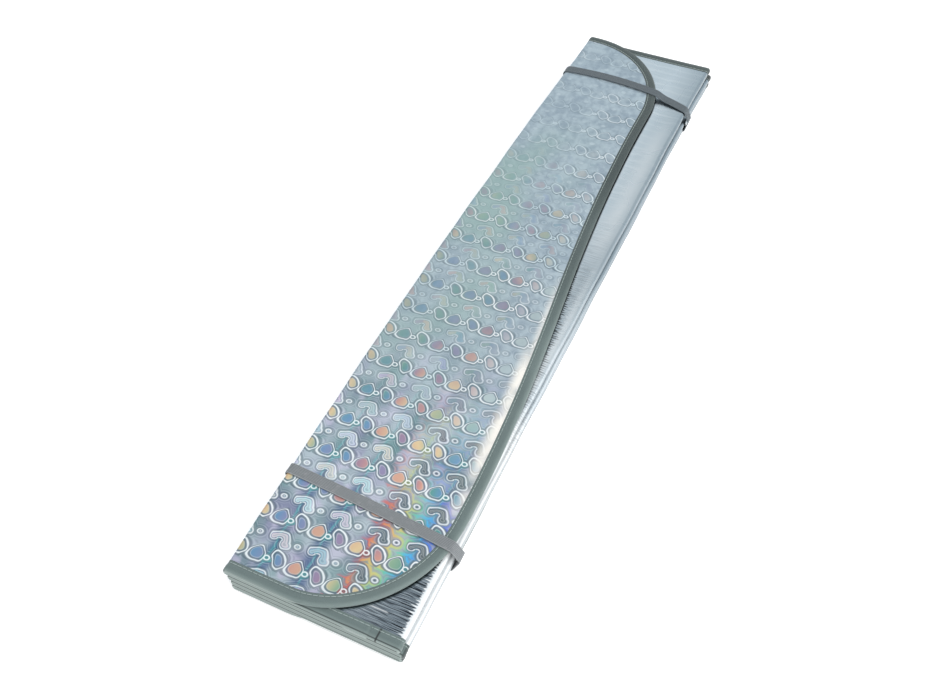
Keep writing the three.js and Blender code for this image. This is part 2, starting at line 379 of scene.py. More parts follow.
def edge_distance(panel, x, y):
    """Distance to the nearest cut edge of the sheet."""
    ends = np.minimum(y - NEAR, FAR - y)
    if panel not in (1, PANELS):
        return ends
    points = np.stack([x, y], -1)
    gaps = np.linalg.norm(points[:, None, :] - CONTOUR[None], axis=2)
    return np.minimum(ends, gaps.min(1))


def build_sheet():
    y = sheet_rows()
    middle = sheet_columns(y, lambda panel, x, y: 0 * y)
    upper = sheet_columns(y, lambda panel, x, y: sheet_half(edge_distance(panel, x, y)))
    lower = sheet_columns(y, lambda panel, x, y: -sheet_half(edge_distance(panel, x, y)))
    count, rows = middle.shape[:2]
    x = middle[..., 0]
    panels = column_panels()
    steps = np.linalg.norm(np.diff(middle, axis=0), axis=2)
    along = np.vstack([np.zeros(rows), np.cumsum(steps, axis=0)])
    anchored = along - along[END_PANEL_STEPS] + (WIDTH / 2 - fold_x(1, y))
    uv = np.stack([anchored, np.broadcast_to(y, anchored.shape)], -1).reshape(-1, 2)
    folded = np.where(panels == 0, 1.0, 0.0)
    under_panel_1 = np.arange(count)[:, None] > END_PANEL_STEPS
    fields = {
        "edge": np.array([edge_distance(panel, own_x, y) for panel, own_x in zip(panels, x)]),
        "turn": np.convolve(folded, [0.25, 0.5, 1.0, 0.5, 0.25], "same").clip(0, 1)[:, None],
        "to_fold": np.abs(x - fold_x(2, y)) * (1 - folded[:, None]),
        # slot: how much painted shade lies in the slots between the stacked rounds
        "slot": slot_shade_shares(panels)[:, None],
        "past_edge": np.where(under_panel_1, x - free_edge_x(y), 99.0),
    }
    for key, field in fields.items():
        fields[key] = np.tile(np.broadcast_to(field, (count, rows)).ravel(), 2)
    size = count * rows
    faces_a = grid_faces(count, rows)
    faces_b = grid_faces(count, rows, size, flip=True)
    rim = []
    for column in (0, count - 1):
        for row in range(rows - 1):
            a = column * rows + row
            quad = (a, a + 1, a + 1 + size, a + size)
            rim.append(quad[::-1] if column == 0 else quad)
    for row in (0, rows - 1):
        for column in range(count - 1):
            a = column * rows + row
            quad = (a, a + rows, a + rows + size, a + size)
            rim.append(quad if row == 0 else quad[::-1])
    points = undulate(np.vstack([upper.reshape(-1, 3), lower.reshape(-1, 3)]))
    slots = [0] * len(faces_a) + [1] * (len(faces_b) + len(rim))
    faces = faces_a + faces_b + rim
    piece = make_mesh("shade_film", points, faces, np.vstack([uv, uv]), slots, fields)
    face_outwards(piece)
    area = float(((steps[:, 1:] + steps[:, :-1]) / 2 * np.diff(y)).sum()) / 1e6
    return piece, area, float(along[-1].max()) / 1000


def perimeter(a, n):
    """Points along the whole cut edge, at distances a inwards from it and n above the middle
    plane on face A's side. It starts and ends at the tape's lap on panel 2's near edge."""
    a, n = np.atleast_1d(a)[None, :], np.atleast_1d(n)[None, :]
    rows = []

    def fixed(x):
        return lambda y: x + 0 * y

    def fold_end(panel):
        return lambda y: fold_x(panel, y)

    def flat_run(panel, start, end, y_end, count):
        y = y_end - np.sign(y_end) * a
        shares = np.linspace(0, 1, count + 1)[1:-1, None]
        rows.append(panel_point(panel, start(y) + (end(y) - start(y)) * shares, y, n))

    def fold_run(panel, y_end):
        angle = FOLD_ANGLES if y_end < 0 else FOLD_ANGLES[::-1]
        rows.append(fold_point(panel, angle[:, None], y_end - np.sign(y_end) * a, n))

    def contour_run(panel, order):
        points, normals = free_edge(*TAPE_CONTOUR_STEPS)
        points, normals = points[::order], normals[::order]
        x = points[:, :1] - normals[:, :1] * a
        y = points[:, 1:] - normals[:, 1:] * a
        rows.append(panel_point(panel, x, y, n))

    lap = WIDTH / 2 - LAP_INSET
    flat_run(2, fixed(lap - LAP_LENGTH), fold_end(2), NEAR, TAPE_LAP_STEPS[0])
    for panel in range(2, PANELS - 1):
        fold_run(panel, NEAR)
        flat_run(panel + 1, fold_end(panel), fold_end(panel + 1), NEAR, TAPE_PANEL_STEPS)
    fold_run(PANELS - 1, NEAR)
    flat_run(PANELS, fold_end(PANELS - 1), fixed(NOSE_START), NEAR, TAPE_NOSE_STEPS)
    contour_run(PANELS, 1)
    flat_run(PANELS, fixed(TAIL_START), fold_end(PANELS - 1), FAR, TAPE_TAIL_STEPS)
    for panel in range(PANELS - 1, 1, -1):
        fold_run(panel, FAR)
        flat_run(panel, fold_end(panel), fold_end(panel - 1), FAR, TAPE_PANEL_STEPS)
    fold_run(1, FAR)
    flat_run(1, fold_end(1), fixed(TAIL_START), FAR, TAPE_TAIL_STEPS)
    contour_run(1, -1)
    flat_run(1, fixed(NOSE_START), fold_end(1), NEAR, TAPE_NOSE_STEPS)
    fold_run(1, NEAR)
    flat_run(2, fold_end(1), fixed(lap), NEAR, TAPE_LAP_STEPS[1])
    return np.vstack(rows)


def tape_profile():
    """Closed section of the tape folded over the edge: its outer skin, then its inner skin."""
    from_hem = np.array([0.0, 0.1, 0.4, 1.0, 1.5, 2.0, 2.5, 3.3, 4.5, 5.6, 6.8, 7.8, 8.6])
    rise = np.array([0.02, 0.22, 0.29, 0.3, 0.27, 0.22, 0.27, 0.36, 0.42, 0.45, 0.46, 0.46, 0.43])
    upper_a = TAPE_WIDTH - from_hem
    upper_n = sheet_half(upper_a) + TAPE_SEAT / 2 + rise
    turn = np.linspace(0, math.pi / 2, 7)[1:]
    half_a = np.concatenate([upper_a, upper_a[-1] - (upper_a[-1] + SKIN) * np.sin(turn)])
    half_n = np.concatenate([upper_n, upper_n[-1] * np.cos(turn)])
    outer_a = np.concatenate([half_a, half_a[-2::-1]])
    outer_n = np.concatenate([half_n, -half_n[-2::-1]])
    inner_in = np.array([9.95, 9.0, 8.0, 7.0, 5.0, 3.0, 1.2, 0.2])
    inner_half = sheet_half(inner_in) + TAPE_SEAT / 3
    inner_a = np.concatenate([inner_in, [-TAPE_SEAT / 2], inner_in[::-1]])
    inner_n = np.concatenate([inner_half, [0.0], -inner_half[::-1]])
    return outer_a, outer_n, inner_a[::-1], inner_n[::-1]


def tape_lift(track):
    """How much the upper end of the tape rises, over its lower end, along the last stretch."""
    lengths = path_lengths(track)
    left = lengths[-1] - lengths
    return LAP_LIFT * np.clip((LAP_LENGTH + LAP_RISE - left) / LAP_RISE, 0, 1)


def build_tape():
    outer_a, outer_n, inner_a, inner_n = tape_profile()
    a = np.concatenate([outer_a, inner_a])
    n = np.concatenate([outer_n, inner_n])
    plain = perimeter(a, n)
    at_edge, at_middle = np.abs(n) < 0.9, np.abs(n) < 0.4
    grown = perimeter(a - np.where(at_edge, 1.0, 0.0), n + np.where(at_middle, 0.0, np.sign(n)))
    track = perimeter(0.0, 0.0)[:, 0]
    points = undulate(plain + (grown - plain) * tape_lift(track)[:, None, None])
    stations, ring = points.shape[:2]
    around = np.concatenate([[0], np.cumsum(np.hypot(np.diff(a), np.diff(n)))])
    faces = grid_faces(stations, ring)
    for low in range(0, (stations - 1) * ring, ring):
        faces.append((low + ring - 1, low, low + ring, low + 2 * ring - 1))
    outer, inner = len(outer_a), len(inner_a)
    share = (inner - 1) / (outer - 1)
    for low in (0, (stations - 1) * ring):
        for i in range(outer - 1):
            j = outer + inner - 1 - round(i * share)
            k = outer + inner - 1 - round((i + 1) * share)
            quad = (low + i, low + i + 1, low + k, low + j)
            faces.append(quad if j != k else quad[:3])
    uv = swept_uv(path_lengths(track), around)
    piece = make_mesh("binding_tape", points.reshape(-1, 3), faces, uv)
    face_outwards(piece)
    return piece


def tube(points, radii, sides, flatten, up):
    """A closed tube through a few points, flattened along up."""
    along = np.gradient(points, axis=0)
    along /= np.linalg.norm(along, axis=1, keepdims=True)
    across = np.cross(along, up)
    across /= np.linalg.norm(across, axis=1, keepdims=True)
    lift = np.cross(across, along)
    angle = np.linspace(0, 2 * math.pi, sides, endpoint=False)
    rings = (
        points[:, None]
        + across[:, None] * (radii[:, None] * np.cos(angle))[..., None]
        + lift[:, None] * (radii[:, None] * np.sin(angle) * flatten)[..., None]
    )
    faces = []
    for ring in range(len(points) - 1):
        for i in range(sides):
            j = (i + 1) % sides
            a, b = ring * sides + i, ring * sides + j
            faces.append((a, b, b + sides, a + sides))
    faces.append(tuple(range(sides))[::-1])
    faces.append(tuple((len(points) - 1) * sides + i for i in range(sides)))
    return rings.reshape(-1, 3), faces


def gather(parts):
    """Joins (points, faces) pairs into one list of points and faces."""
    points, faces, first = [], [], 0
    for own_points, own_faces in parts:
        points.append(own_points)
        faces += [tuple(i + first for i in face) for face in own_faces]
        first += len(own_points)
    return np.vstack(points), faces


def build_stitches():
    """A short tube of thread for each stitch, on both sides of the tape."""
    top = sheet_half(STITCH_LINE) + TAPE_SEAT / 2 + STITCH_LIFT
    radii = np.array([0.16, 0.27, 0.27, 0.16])
    sunk = np.array([0.16, 0.0, 0.0, 0.16])[:, None]
    parts = []
    for sign in (1, -1):
        track = undulate(perimeter(STITCH_LINE, sign * top)[:, 0])
        above = undulate(perimeter(STITCH_LINE, sign * (top + 1))[:, 0])
        lengths = path_lengths(track)
        track = track + (above - track) * tape_lift(track)[:, None]
        normal = above - track
        normal /= np.linalg.norm(normal, axis=1, keepdims=True)
        for start in np.arange(2.0, lengths[-1] - STITCH_STEP, STITCH_STEP):
            at = start + STITCH_LENGTH * np.array([0.0, 0.18, 0.82, 1.0])
            up = interpolate(at.mean(), lengths, normal)
            points = interpolate(at, lengths, track) - up * sunk
            parts.append(tube(points, radii, THREAD_SIDES, 0.7, up))
    return make_mesh("binding_stitches", *gather(parts))


def taped_edge_x(strap, off_middle=0.0):
    """Where panel 1's taped free edge crosses a line along a strap."""
    x = WIDTH / 4
    for _ in range(6):
        x = float(free_edge_x(np.array(strap_line(strap, x) + off_middle))) + SKIN
    return x


def strap_supports(strap):
    """Circles (x, z, radius) that a strap lies on, at both edges of its band."""
    supports = []
    half_taped = HALF + SKIN
    for off_middle in (-strap["width"] / 2, strap["width"] / 2):
        for panel in range(1, PANELS):
            side = side_of(panel)
            y = strap_line(strap, side * WIDTH / 2) + off_middle
            x = side * (abs(fold_x(panel, y)) + WOBBLE_ROOM)
            z = (panel_z(panel, y) + panel_z(panel + 1, y)) / 2
            supports.append((x, z, (pitch(y) + SHEET) / 2))
        x = taped_edge_x(strap, off_middle)
        y = strap_line(strap, x) + off_middle
        for panel in (1, PANELS):
            for side in (1, -1):
                supports.append((x, panel_z(panel, y) + side * half_taped, 0.0))
        last_fold = float(fold_x(PANELS - 1, y))
        supports.append((last_fold, panel_z(PANELS, y) - half_taped, 0.0))
    supports.append((*strap["stand"], 0.0))
    return supports


def taut_outline(supports, distance):
    """Convex hull round the supports, at a distance from them."""
    angle = np.linspace(0, 2 * math.pi, CORNER_STEPS, endpoint=False)
    points = []
    for x, z, radius in supports:
        reach = radius + distance
        points += list(zip(x + reach * np.cos(angle), z + reach * np.sin(angle)))
    points.sort()

    def chain(ordered):
        kept = []
        for p in ordered:
            while len(kept) > 1:
                (ax, ay), (bx, by) = kept[-2], kept[-1]
                if (bx - ax) * (p[1] - ay) - (by - ay) * (p[0] - ax) > 1e-3:
                    break
                kept.pop()
            kept.append(p)
        return kept[:-1]

    return np.array(chain(points) + chain(points[::-1]))


def resample(outline, step):
    """Points at even spacing round a closed outline, the first one repeated at the end."""
    closed = np.vstack([outline, outline[:1]])
    lengths = path_lengths(closed)
    at = np.linspace(0, lengths[-1], int(round(lengths[-1] / step)) + 1)
    return interpolate(at, lengths, closed)


def sagged(strap, outline):
    """The upper run sinks a little between panel 1's free edge and the right folds."""
    x, z = outline[:, 0], outline[:, 1]
    foot = taped_edge_x(strap)
    share = (x - foot) / (fold_x(2, strap["middle"]) - foot)
    upper = (z > z.mean()) & (share > 0) & (share < 1)
    sag = strap["sag"] * (1 - share) * ramp_up(share / 0.35)
    return np.stack([x, z - np.where(upper, sag, 0.0)], -1)


def outline_normals(outline):
    along = np.gradient(outline, axis=0)
    along[0] = along[-1] = outline[1] - outline[-2]
    along /= np.linalg.norm(along, axis=1, keepdims=True)
    return np.stack([along[:, 1], -along[:, 0]], -1)


def band_section(width):
    """Closed section of the elastic: (across, out) with soft edges and a thick selvedge."""
    inner, thick = width / 2 - SELVEDGE, STRAP / 2
    side = inner * np.array([-1.0, -0.84, -0.6, -0.2, 0.2, 0.6, 0.84, 1.0])
    bulge = thick * np.array([0.94, 0.98, 0.86, 0.84, 0.84, 0.86, 0.98, 0.94])
    turn = np.linspace(math.pi / 2, -math.pi / 2, 7)[1:-1]
    right = np.stack([inner + SELVEDGE * np.cos(turn), thick * 0.9 * np.sin(turn)], -1)
    top = np.stack([side, bulge], -1)
    bottom = np.stack([side[::-1], -bulge], -1)
    return np.vstack([top, right, bottom, -right, top[:1]])


def band(strap, track, normals, closed):
    """The elastic's section along a track of (x, z) points."""
    section = band_section(strap["width"])
    points = track[:, None, :] + normals[:, None, :] * section[None, :, 1:]
    x, z = points[..., 0], points[..., 1]
    solid = np.stack([x, strap_line(strap, x) + section[None, :, 0], z], -1)
    stations, ring = solid.shape[:2]
    faces = grid_faces(stations, ring)
    if not closed:
        faces.append(tuple(range(ring - 1)))
        faces.append(tuple((stations - 1) * ring + i for i in range(ring - 1))[::-1])
    uv = swept_uv(path_lengths(track), path_lengths(section))
    return solid.reshape(-1, 3), faces, uv


def sew_lap(name, strap, track, out):
    """Four rows of stitches across a strap's lap, which looks out."""
    half = strap["width"] / 2 - 1
    radii = np.array([0.12, 0.2, 0.2, 0.12])
    depth = STRAP / 2 + np.array([-0.1, 0.05, 0.05, -0.1])
    up = np.array([out[0], 0, out[1]])
    parts = []
    for share in (0.16, 0.3, 0.7, 0.84):
        place = interpolate(share * (len(track) - 1), np.arange(len(track)), track)
        x, z = place[0] + out[0] * depth, place[1] + out[1] * depth
        for start in np.arange(-half, half - 1.0, 1.9):
            y = strap_line(strap, x) + start + np.array([0.0, 0.3, 1.1, 1.4])
            parts.append(tube(np.stack([x, y, z], -1), radii, THREAD_SIDES, 0.8, up))
    return make_mesh(name, *gather(parts))


def build_strap(name, strap):
    outline = resample(taut_outline(strap_supports(strap), STRAP_SEAT + STRAP / 2), BAND_STEP)
    outline = sagged(strap, outline)
    bottom = int(np.argmin(outline[:, 1] + 0.01 * np.abs(outline[:, 0])))
    outline = np.vstack([outline[bottom:-1], outline[: bottom + 1]])
    normals = outline_normals(outline)
    points, faces, uv = band(strap, outline, normals, True)
    lap_z = panel_z((PANELS + 1) / 2, strap["middle"])
    lapped = (outline[:, 0] < 0) & (np.abs(outline[:, 1] - lap_z) < STRAP_LAP / 2 + 1)
    lap_track = outline[lapped] + normals[lapped] * STRAP * 0.97
    if lap_track[0, 1] > lap_track[-1, 1]:
        lap_track = lap_track[::-1]
    index = np.arange(len(lap_track))
    fine = np.linspace(0, index[-1], BAND_LAP_STEPS)
    lap_track = interpolate(fine, index, lap_track)
    lap_normals = interpolate(fine, index, normals[lapped])
    lap_points, lap_faces, lap_uv = band(strap, lap_track, lap_normals, False)
    points, faces = gather([(points, faces), (lap_points, lap_faces)])
    piece = make_mesh(name, points, faces, np.vstack([uv, lap_uv]))
    face_outwards(piece)
    out = lap_normals[len(lap_track) // 2]
    return piece, sew_lap(name + "_stitches", strap, lap_track, out)


class Term:
    """A number or socket of a node graph, with the usual arithmetic."""

    def __init__(self, graph, socket):
        self.graph = graph
        self.socket = socket

    def __add__(self, other):
        return self.graph.math("ADD", self, other)

    __radd__ = __add__

    def __sub__(self, other):
        return self.graph.math("SUBTRACT", self, other)

    def __rsub__(self, other):
        return self.graph.math("SUBTRACT", other, self)

    def __mul__(self, other):
        return self.graph.math("MULTIPLY", self, other)

    __rmul__ = __mul__

    def __truediv__(self, other):
        return self.graph.math("DIVIDE", self, other)


class Graph:
    """Node graph of a material or the world."""

    def __init__(self, owner, shader="Principled BSDF"):
        owner.use_nodes = True
        self.owner = owner
        self.nodes = owner.node_tree.nodes
        self.links = owner.node_tree.links
        self.shader = self.nodes[shader]

    def node(self, kind, **settings):
        made = self.nodes.new(kind)
        for key, value in settings.items():
            setattr(made, key, value)
        return made

    def feed(self, value, socket):
        if isinstance(value, Term):
            self.links.new(value.socket, socket)
        else:
            socket.default_value = value

    def fed(self, made, *values):
        """The node's first output, once its first inputs are fed."""
        for value, socket in zip(values, made.inputs):
            self.feed(value, socket)
        return Term(self, made.outputs[0])

    def surface(self, **values):
        """Feeds the shader's inputs, which are named here with _ for each space."""
        for key, value in values.items():
            self.feed(value, self.shader.inputs[key.replace("_", " ").title()])
        return self.owner

    def split(self, output):
        parts = self.node("ShaderNodeSeparateXYZ")
        self.links.new(output, parts.inputs[0])
        return [Term(self, part) for part in parts.outputs]

    def coordinates(self, name):
        return self.split(self.node("ShaderNodeTexCoord").outputs[name])

    def uv(self):
        """Millimetres along both ways of the laid-out piece."""
        u, v, _ = self.split(self.node("ShaderNodeUVMap", uv_map="flat").outputs[0])
        return u * 1000, v * 1000

    def place(self):
        """Millimetres across the stack, towards its far end and above the floor."""
        return [part * 1000 for part in self.coordinates("Object")]

    def value_of(self, name):
        return Term(self, self.node("ShaderNodeAttribute", attribute_name=name).outputs["Fac"])

    def math(self, operation, *values):
        return self.fed(self.node("ShaderNodeMath", operation=operation), *values)

    def absolute(self, value):
        return self.math("ABSOLUTE", value)

    def floor(self, value):
        return self.math("FLOOR", value)

    def fraction(self, value):
        return self.math("FRACT", value)

    def sine(self, value):
        return self.math("SINE", value)

    def low(self, first, second):
        return self.math("MINIMUM", first, second)

    def high(self, first, second):
        return self.math("MAXIMUM", first, second)

    def length(self, x, y):
        return self.math("SQRT", x * x + y * y)

    def noise(self, x, y, sizes, depth=0, detail=2, roughness=0.5):
        """Soft noise whose spots are about as wide and long as sizes say."""
        vector = self.fed(self.node("ShaderNodeCombineXYZ"), x / sizes[0], y / sizes[1], depth)
        made = self.node("ShaderNodeTexNoise")
        made.inputs["Scale"].default_value = 1
        made.inputs["Detail"].default_value = detail
        made.inputs["Roughness"].default_value = roughness
        return self.fed(made, vector)

    def smooth(self, value, low, high, out_low=0, out_high=1):
        made = self.node("ShaderNodeMapRange", interpolation_type="SMOOTHSTEP")
        return self.fed(made, value, low, high, out_low, out_high)

    def window(self, value, start, full, still_full, end):
        """1 from full to still_full, 0 before start and after end."""
        return self.smooth(value, start, full) * self.smooth(value, end, still_full)

    def around(self, value, place, reach, full):
        """1 within full of a place, 0 from reach on."""
        return self.smooth(self.absolute(value - place), reach, full)

    def mix(self, share, first, second):
        made = self.node("ShaderNodeMix", data_type="RGBA", blend_type="MIX")
        for value, index in ((share, 0), (first, 6), (second, 7)):
            self.feed(value, made.inputs[index])
        return Term(self, made.outputs[2])

    def paint(self, colour, *layers):
        """Lays (share, eight-bit colour) layers over a colour, one after the other."""
        for share, over in layers:
            colour = self.mix(share, colour, srgb(*over))
        return colour

    def ramp(self, value, stops):
        made = self.node("ShaderNodeValToRGB")
        elements = made.color_ramp.elements
        while len(elements) < len(stops):
            elements.new(0.5)
        for element, (place, color) in zip(elements, stops):
            element.position = place
            element.color = color
        return self.fed(made, value)

    def bump(self, height, distance, strength):
        made = self.node("ShaderNodeBump")
        for name, value in (("Strength", strength), ("Distance", distance), ("Height", height)):
            self.feed(value, made.inputs[name])
        return Term(self, made.outputs[0])


def srgb(red, green, blue):
    """Linear colour from eight-bit values."""
    def linear(c):
        c /= 255
        return c / 12.92 if c <= 0.04045 else ((c + 0.055) / 1.055) ** 2.4
    return (linear(red), linear(green), linear(blue), 1.0)


# Spacing of the print on face A, in millimetres
PRINT_COLUMN = 33.5
PRINT_ROW = 17.5


def patterned_film():
    """Face A: film with rows of outlined pebbles and bent beans in soft rainbow colours.
    Its rainbow reflections, glints and glare are painted in as fixed colour.
    """
    g = Graph(bpy.data.materials.new("patterned_film"))
    u, v = g.uv()
    x = WIDTH / 2 - u
    row = g.floor(v / PRINT_ROW)
    local_y = v - (row + 0.5) * PRINT_ROW
    odd = g.absolute(row - 2 * g.floor(row / 2))
    pair_row = 1 - odd
    shifted = u + odd * (PRINT_COLUMN / 2) + 6
    cell = g.floor(shifted / PRINT_COLUMN)
    local_x = shifted - (cell + 0.5) * PRINT_COLUMN
    px = local_x + (g.noise(local_x, local_y, (8.5, 8.5), 4, detail=0) - 0.5) * 4.5
    py = local_y + (g.noise(local_x, local_y, (8.5, 8.5), 9, detail=0) - 0.5) * 4.5

    def egg(cx, cy, rx, ry, narrowing, lean):
        dx, dy = px - cx, py - cy
        wide = 1 - dy * (narrowing / ry)
        return (g.length((dx + dy * lean) / (wide * rx), dy / ry) - 1) * min(rx, ry)

    pebbles = g.low(egg(-7.4, -0.4, 6.2, 6.6, 0.3, 0.25), egg(7, 0.4, 5.8, 7, -0.25, -0.2))
    arm_x, arm_y = px + 0.6, py + 2.4
    turned_x, turned_y = arm_x * 0.95 + arm_y * 0.31, arm_y * 0.95 - arm_x * 0.31
    ring = g.absolute(g.length(turned_x, turned_y) - 5.8) - 2.9
    tip = g.low(
        g.length(turned_x + 5.9, turned_y - 0.8) - 3.8,
        g.length(turned_x - 5.9, turned_y - 1.6) - 3,
    )
    bean = g.low(tip, ring + g.smooth(turned_y, 2, 1) * 40)
    drop = g.length((g.absolute(local_x) - PRINT_COLUMN / 2) * 0.8, local_y + 1) - 1.7
    field = g.low(pebbles + odd * (bean - pebbles), drop)

    near = g.smooth(v, -80, -270)
    nearest = g.smooth(v, -250, -310)
    middle = g.smooth(v, 190, -40)
    right = g.smooth(x, -45, 30)
    strength = 0.05 + pair_row * (0.22 + right * 0.34)
    strength = g.low(strength + middle * (0.3 - right * 0.06) + near * 0.42, 0.7 + near * 0.2)
    drift = g.noise(x, v, (80, 150), detail=1)
    marble = g.noise(x, v, (15, 24), 3)
    patch = g.noise(x, v, (30, 45), 6)

    side = g.smooth(local_x, -1, 1)
    hue = g.fraction(drift * 1.3 - x / 110 + side * 0.24 + odd * 0.45 + 4.2)
    pastel = g.ramp(hue, [
        (0, srgb(176, 138, 160)),
        (0.16, srgb(146, 148, 190)),
        (0.32, srgb(108, 156, 196)),
        (0.48, srgb(98, 162, 154)),
        (0.62, srgb(156, 188, 156)),
        (0.76, srgb(238, 210, 162)),
        (0.9, srgb(222, 162, 146)),
        (1, srgb(176, 138, 160)),
    ])
    whiter = g.smooth(x, 8, 34) * g.smooth(v, -260, -150) * 0.75
    pastel = g.paint(pastel, (whiter, (226, 236, 240)))
    bean_fill = g.ramp(g.fraction(cell * 0.618 + row * 0.287 + 7), [
        (0, srgb(206, 244, 244)),
        (0.3, srgb(222, 206, 244)),
        (0.55, srgb(240, 232, 214)),
        (0.8, srgb(164, 206, 222)),
        (1, srgb(206, 244, 244)),
    ])
    bean_fill = g.paint(
        bean_fill,
        (g.smooth(field, -1.6, -2.6) * 0.45, (120, 142, 160)),
        (g.smooth(x, -18, 26), (96, 110, 116)),
    )
    fill_colour = g.mix(odd * (0.35 + near * 0.62), pastel, bean_fill)

    mottle = g.noise(x, v, (7, 9), 15, detail=3)
    spots = g.smooth(patch * 0.4 + mottle * 0.6, 0.36, 0.64)
    far_tone = g.mix(spots, srgb(150, 166, 178), srgb(178, 193, 201))
    green_share = g.smooth(x, 30, -50) * g.smooth(drift, 0.35, 0.6)
    greenish = g.paint(far_tone, (green_share, (150, 178, 172)))
    ground = g.mix(g.smooth(v, 280, 120) * 0.7, far_tone, greenish)
    near_tone = g.mix(g.smooth(patch, 0.35, 0.6), srgb(114, 136, 150), srgb(184, 198, 207))
    ground = g.mix(near * 0.85, ground, near_tone)
    tint = g.noise(x, v, (24, 32), 21)
    lane = g.fraction((x + 401 + marble * 6) / PRINT_COLUMN)
    lane = g.absolute(lane - 0.5) * PRINT_COLUMN
    veil = g.smooth(g.noise(x, v, (20, 24), 12), 0.47, 0.62) * g.smooth(lane, 2, 9)
    pools = g.smooth(lane, 11, 2) * g.smooth(patch, 0.34, 0.46) * g.smooth(x, -70, -46)
    ground = g.paint(
        ground,
        (g.smooth(tint, 0.5, 0.64) * near * 0.42, (156, 144, 188)),
        (g.smooth(tint, 0.48, 0.34) * near * 0.55, (108, 158, 156)),
        (veil * near * 0.55, (214, 206, 232)),
        (pools * nearest * 0.78, (40, 84, 138)),
        (nearest * right * 0.22, (206, 212, 214)),
    )
    # Painted highlights: coloured cross-shaped glints of the foil along the lanes between the
    # motifs
    arms = g.around(local_y, -2, 4.5, 0) * pair_row
    glint_streak = g.smooth(lane - arms * 4.5, 1.7, 0) * g.smooth(v, -150, -270)
    glint_streak = glint_streak * (0.35 + arms * 0.5 + nearest * 0.15)
    warm = g.mix(g.smooth(v, -300, -270), srgb(226, 104, 88), srgb(214, 226, 130))
    glint_colour = g.mix(g.around(x, 13, 14, 8), srgb(96, 196, 198), warm)
    ground = g.mix(glint_streak, ground, glint_colour)

    echo = g.sine(field * 3.1 + marble * 9)
    ripples = g.smooth(field, 7, 1) * g.smooth(field, 0.3, 0.9) * strength * 0.55
    ground = g.paint(
        ground,
        (g.smooth(echo, 0.1, 0.95) * ripples, (200, 212, 216)),
        (g.smooth(echo, -0.1, -0.95) * ripples, (78, 98, 110)),
    )

    # Painted reflection: the rainbow the foil throws back towards the near end, laid in as fixed
    # colour
    warped_x = x + (v + 400) * -0.05 + (marble - 0.5) * 24 + field * 1.2
    flow_place = (warped_x - 6) / 60 + g.smooth(v, -305, -255) * 0.28
    rainbow = g.ramp(flow_place, [
        (0, srgb(150, 140, 170)),
        (0.12, srgb(222, 118, 108)),
        (0.26, srgb(234, 178, 112)),
        (0.4, srgb(212, 214, 136)),
        (0.55, srgb(122, 210, 176)),
        (0.7, srgb(92, 192, 238)),
        (0.86, srgb(84, 134, 232)),
        (1, srgb(132, 124, 206)),
    ])
    flow_across = g.window(flow_place, 0, 0.12, 0.9, 1.12)
    threads = g.smooth(g.sine(field * 1.3 + marble * 9 + x * 0.2), -0.9, 0.95)
    ground = g.paint(ground, (nearest * flow_across * 0.2, (64, 92, 122)))
    flow = (nearest * 0.62 + g.smooth(v, -120, -280) * 0.38) * flow_across
    flow = flow * g.smooth(field, 0.5, 1.8) * (0.1 + nearest * 0.16 + threads * 0.66)
    colour = g.mix(flow, ground, rainbow)

    inner = g.smooth(field, -0.3, -0.9) * (1 - odd * near * g.smooth(x, 20, -10))
    colour = g.paint(colour, (inner * (0.3 + middle * 0.7) * strength * 0.75, (92, 110, 118)))
    fill = g.smooth(field, -0.7 - pair_row * 0.5, -1.6 - pair_row * 1.1)
    fill_strength = g.smooth(v, 230, 20) * (0.34 + right * 0.1) + near * 0.5
    colour = g.mix(fill * fill_strength, colour, fill_colour)
    rim = g.around(field, 1.25, 0.75, 0.25)
    dots = g.smooth(drop, 1, -0.8) * g.smooth(v, 60, 160)
    colour = g.paint(
        colour,
        (g.around(field, -2.3, 0.5, 0.1) * near * 0.32, (232, 238, 240)),
        (rim * strength * (0.8 - near * 0.2), (76, 94, 102)),
        (dots * 0.3, (206, 218, 223)),
    )
    outline = g.smooth(g.absolute(field - 0.1) - near * 0.1, 0.66, 0.18)
    lit = g.mix(g.smooth(drift, 0.35, 0.65), srgb(214, 232, 236), srgb(255, 255, 255))
    lit = g.paint(lit, (near * 0.65, (250, 253, 253)))
    colour = g.mix(outline * (strength * 1.05), colour, lit)

    edge = g.value_of("edge")
    wide_glare = g.smooth(edge, 23, 12) * g.window(v, -300, -240, -135, -80)
    thin_glare = g.smooth(edge, 17, 10) * g.window(v, -300, -200, -60, 10) * 0.55
    colour = g.paint(
        colour,
        (g.high(wide_glare * g.smooth(patch, 0.32, 0.55), thin_glare), (255, 250, 241)),
        # painted shade in the slots between the stacked rounds
        (g.value_of("slot") * 0.6, (52, 60, 64)),
    )
    crinkle = g.noise(u, v, (30, 9), detail=3)
    height = crinkle * 0.5 + g.smooth(field, 0.6, -0.6) * 0.12
    normal = g.bump(height, 0.0012, 0.5)
    return g.surface(base_color=colour, metallic=0.45, roughness=0.3, normal=normal)


